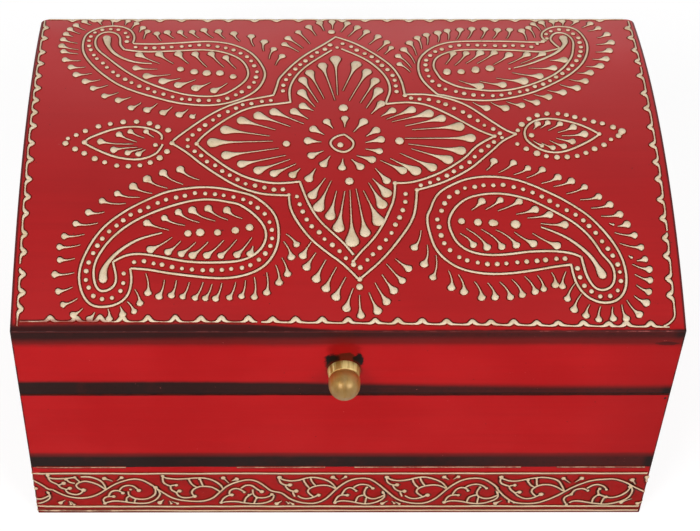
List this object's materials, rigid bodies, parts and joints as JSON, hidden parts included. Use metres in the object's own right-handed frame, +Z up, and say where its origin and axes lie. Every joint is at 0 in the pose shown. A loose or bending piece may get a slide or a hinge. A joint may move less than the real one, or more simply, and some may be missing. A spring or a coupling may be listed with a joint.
{
  "type": "wooden storage box",
  "caption": "Small hinged wooden keepsake box with a bowed lid, painted red with raised cream paisley and flower ornament, and a brass knob.",
  "frame": {"origin": "centre of the underside, on the surface that the box stands on", "axes": "+X to the right along the length, +Y from the front with the knob to the back with the hinges, +Z up"},
  "size_m": [0.19, 0.138, 0.1032],
  "materials": {
    "red_paint": "satin red paint over wood outside, with darkened edges and raised cream ornament",
    "bare_wood": "bare sanded wood",
    "cream_relief": "matt raised cream paint lines and dots",
    "knob_brass": "turned and lacquered, slightly tarnished",
    "brass": "brushed",
    "brass_screws": "turned",
    "steel": "plain wire and turned steel"
  },
  "bodies": {
    "body": {"body_front_board": "red_paint", "body_back_board": "red_paint", "body_left_end": "red_paint", "body_right_end": "red_paint", "bottom_board": "bare_wood", "left_hinge_body_leaf": "brass", "right_hinge_body_leaf": "brass", "left_hinge_pin": "steel", "right_hinge_pin": "steel", "hinge_screws_body": "brass_screws", "body_corner_brads": "steel", "bottom_board_brads": "steel"},
    "lid": {"lid_front_rail": "red_paint", "lid_back_rail": "red_paint", "lid_left_end": "red_paint", "lid_right_end": "red_paint", "lid_top_board": "red_paint", "left_hinge_lid_leaf": "brass", "right_hinge_lid_leaf": "brass", "hinge_screws_lid": "brass_screws", "knob": "knob_brass", "knob_screw": "steel", "lid_corner_brads": "steel", "top_board_brads": "steel"}
  },
  "joints": [
    {"name": "lid_hinge", "type": "hinge", "parent": "body", "child": "lid", "pos_m": [0, 0.06275, 0.06325], "axis": [-1, 0, 0], "range_deg": [0, 102]}
  ]
}
